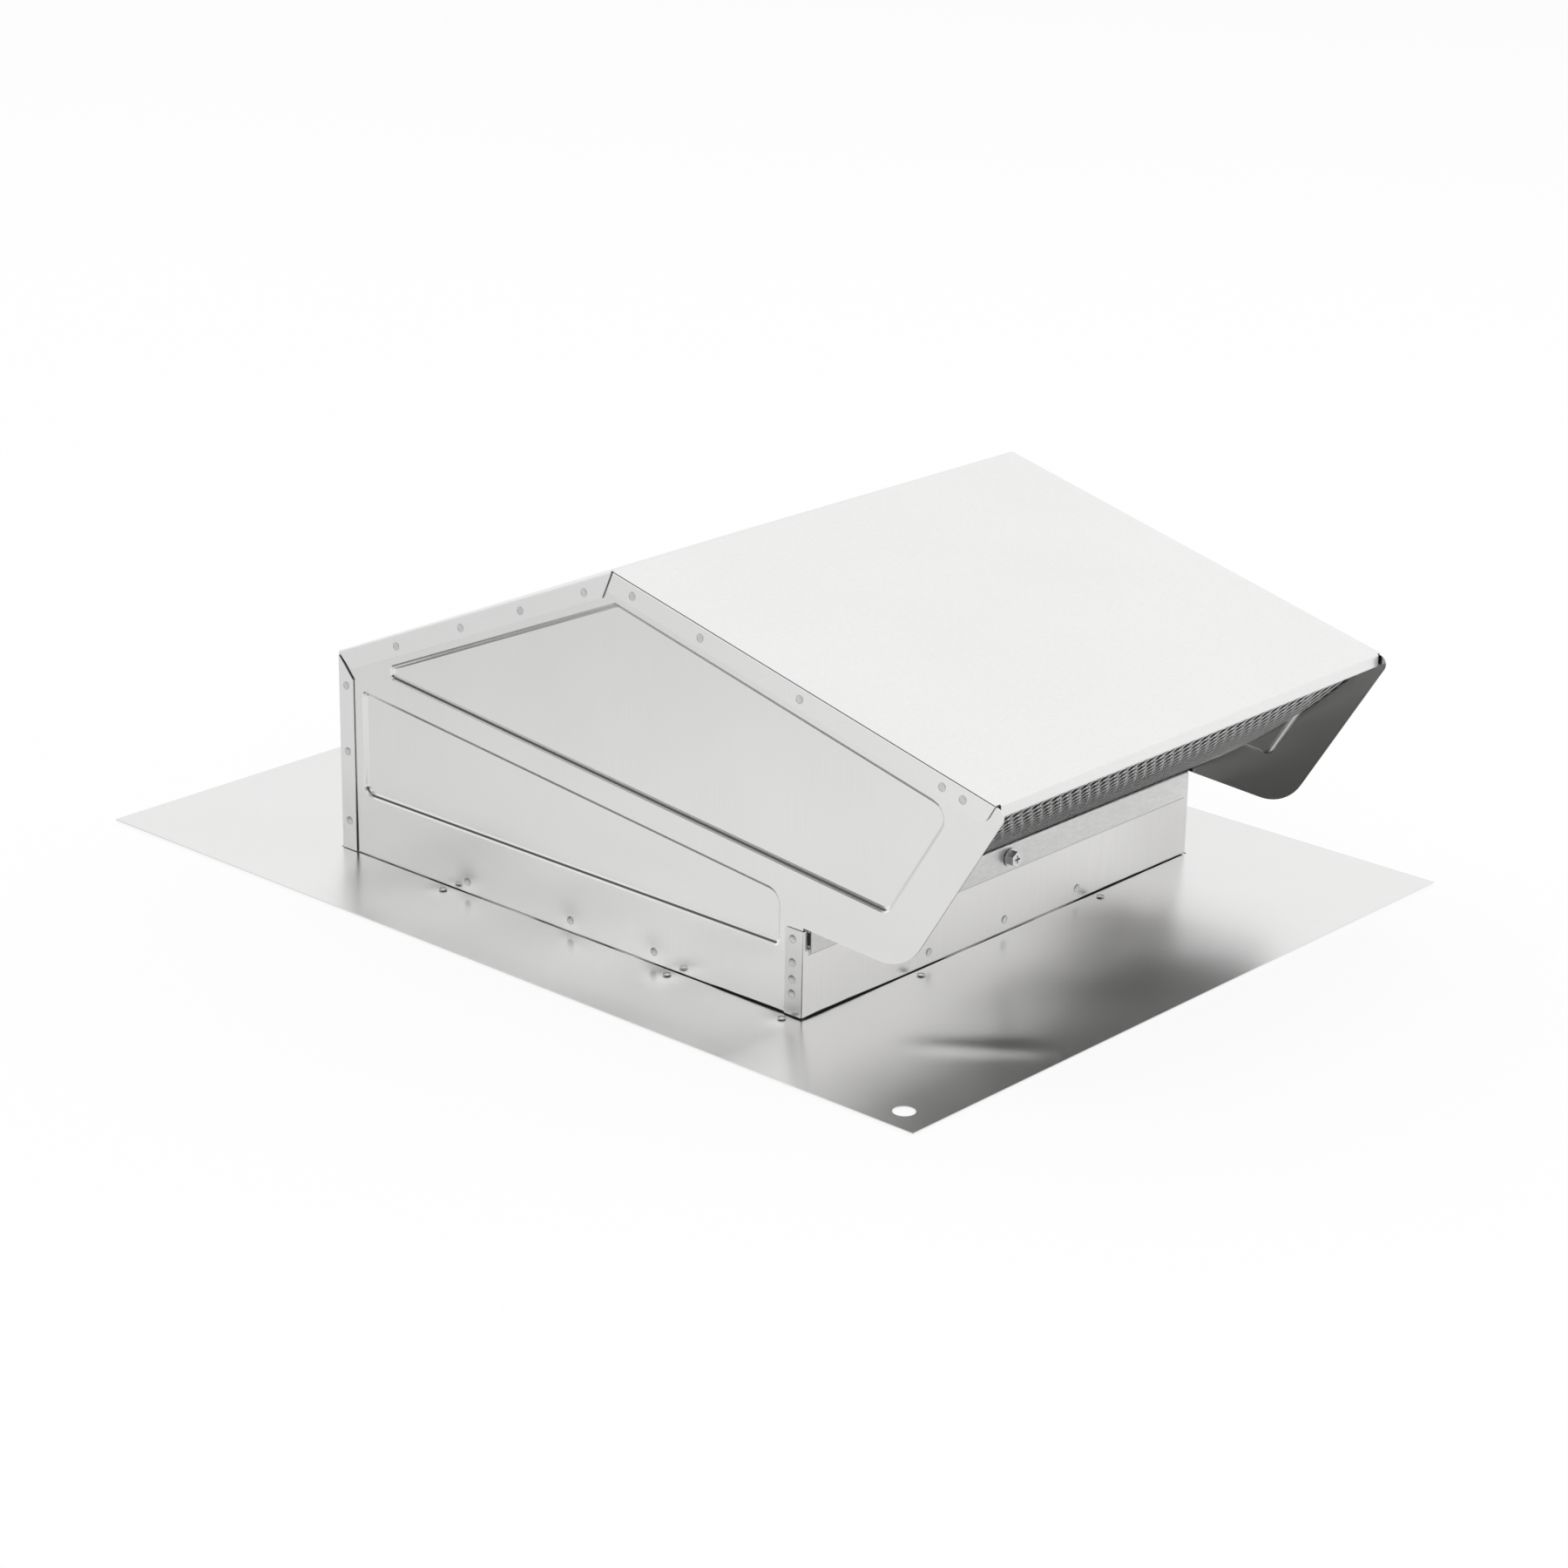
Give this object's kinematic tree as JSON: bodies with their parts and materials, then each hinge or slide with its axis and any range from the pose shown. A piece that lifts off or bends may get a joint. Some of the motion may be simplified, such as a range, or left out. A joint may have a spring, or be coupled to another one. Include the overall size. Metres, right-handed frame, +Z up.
{
  "type": "static roof vent",
  "caption": "Low sheet metal roof vent with a folded hood, embossed side panels, a screened front opening and a flat flashing plate.",
  "frame": {"origin": "below the middle of the flashing plate, at the height of the base flanges' underside", "axes": "+Z up, -Y out of the screened opening, +X to the right of someone facing the back of the vent from the front"},
  "size_m": [0.368, 0.49, 0.1723],
  "materials": {
    "base_plate": "smooth mill finish",
    "hood_sheet": "smooth mill finish",
    "side_panel": "smooth mill finish with faint vertical rolling marks",
    "front_wall": "smooth mill finish with faint vertical rolling marks",
    "screen_retainer": "dull, mottled mill finish",
    "bird_screen": "dull wire",
    "retainer_screw": "bright zinc plating"
  },
  "bodies": {
    "root": {"base_plate": "base_plate", "hood_sheet": "hood_sheet", "left_side_panel": "side_panel", "right_side_panel": "side_panel", "front_wall": "front_wall", "screen_retainer": "screen_retainer", "bird_screen": "bird_screen", "retainer_screw": "retainer_screw"}
  },
  "joints": []
}
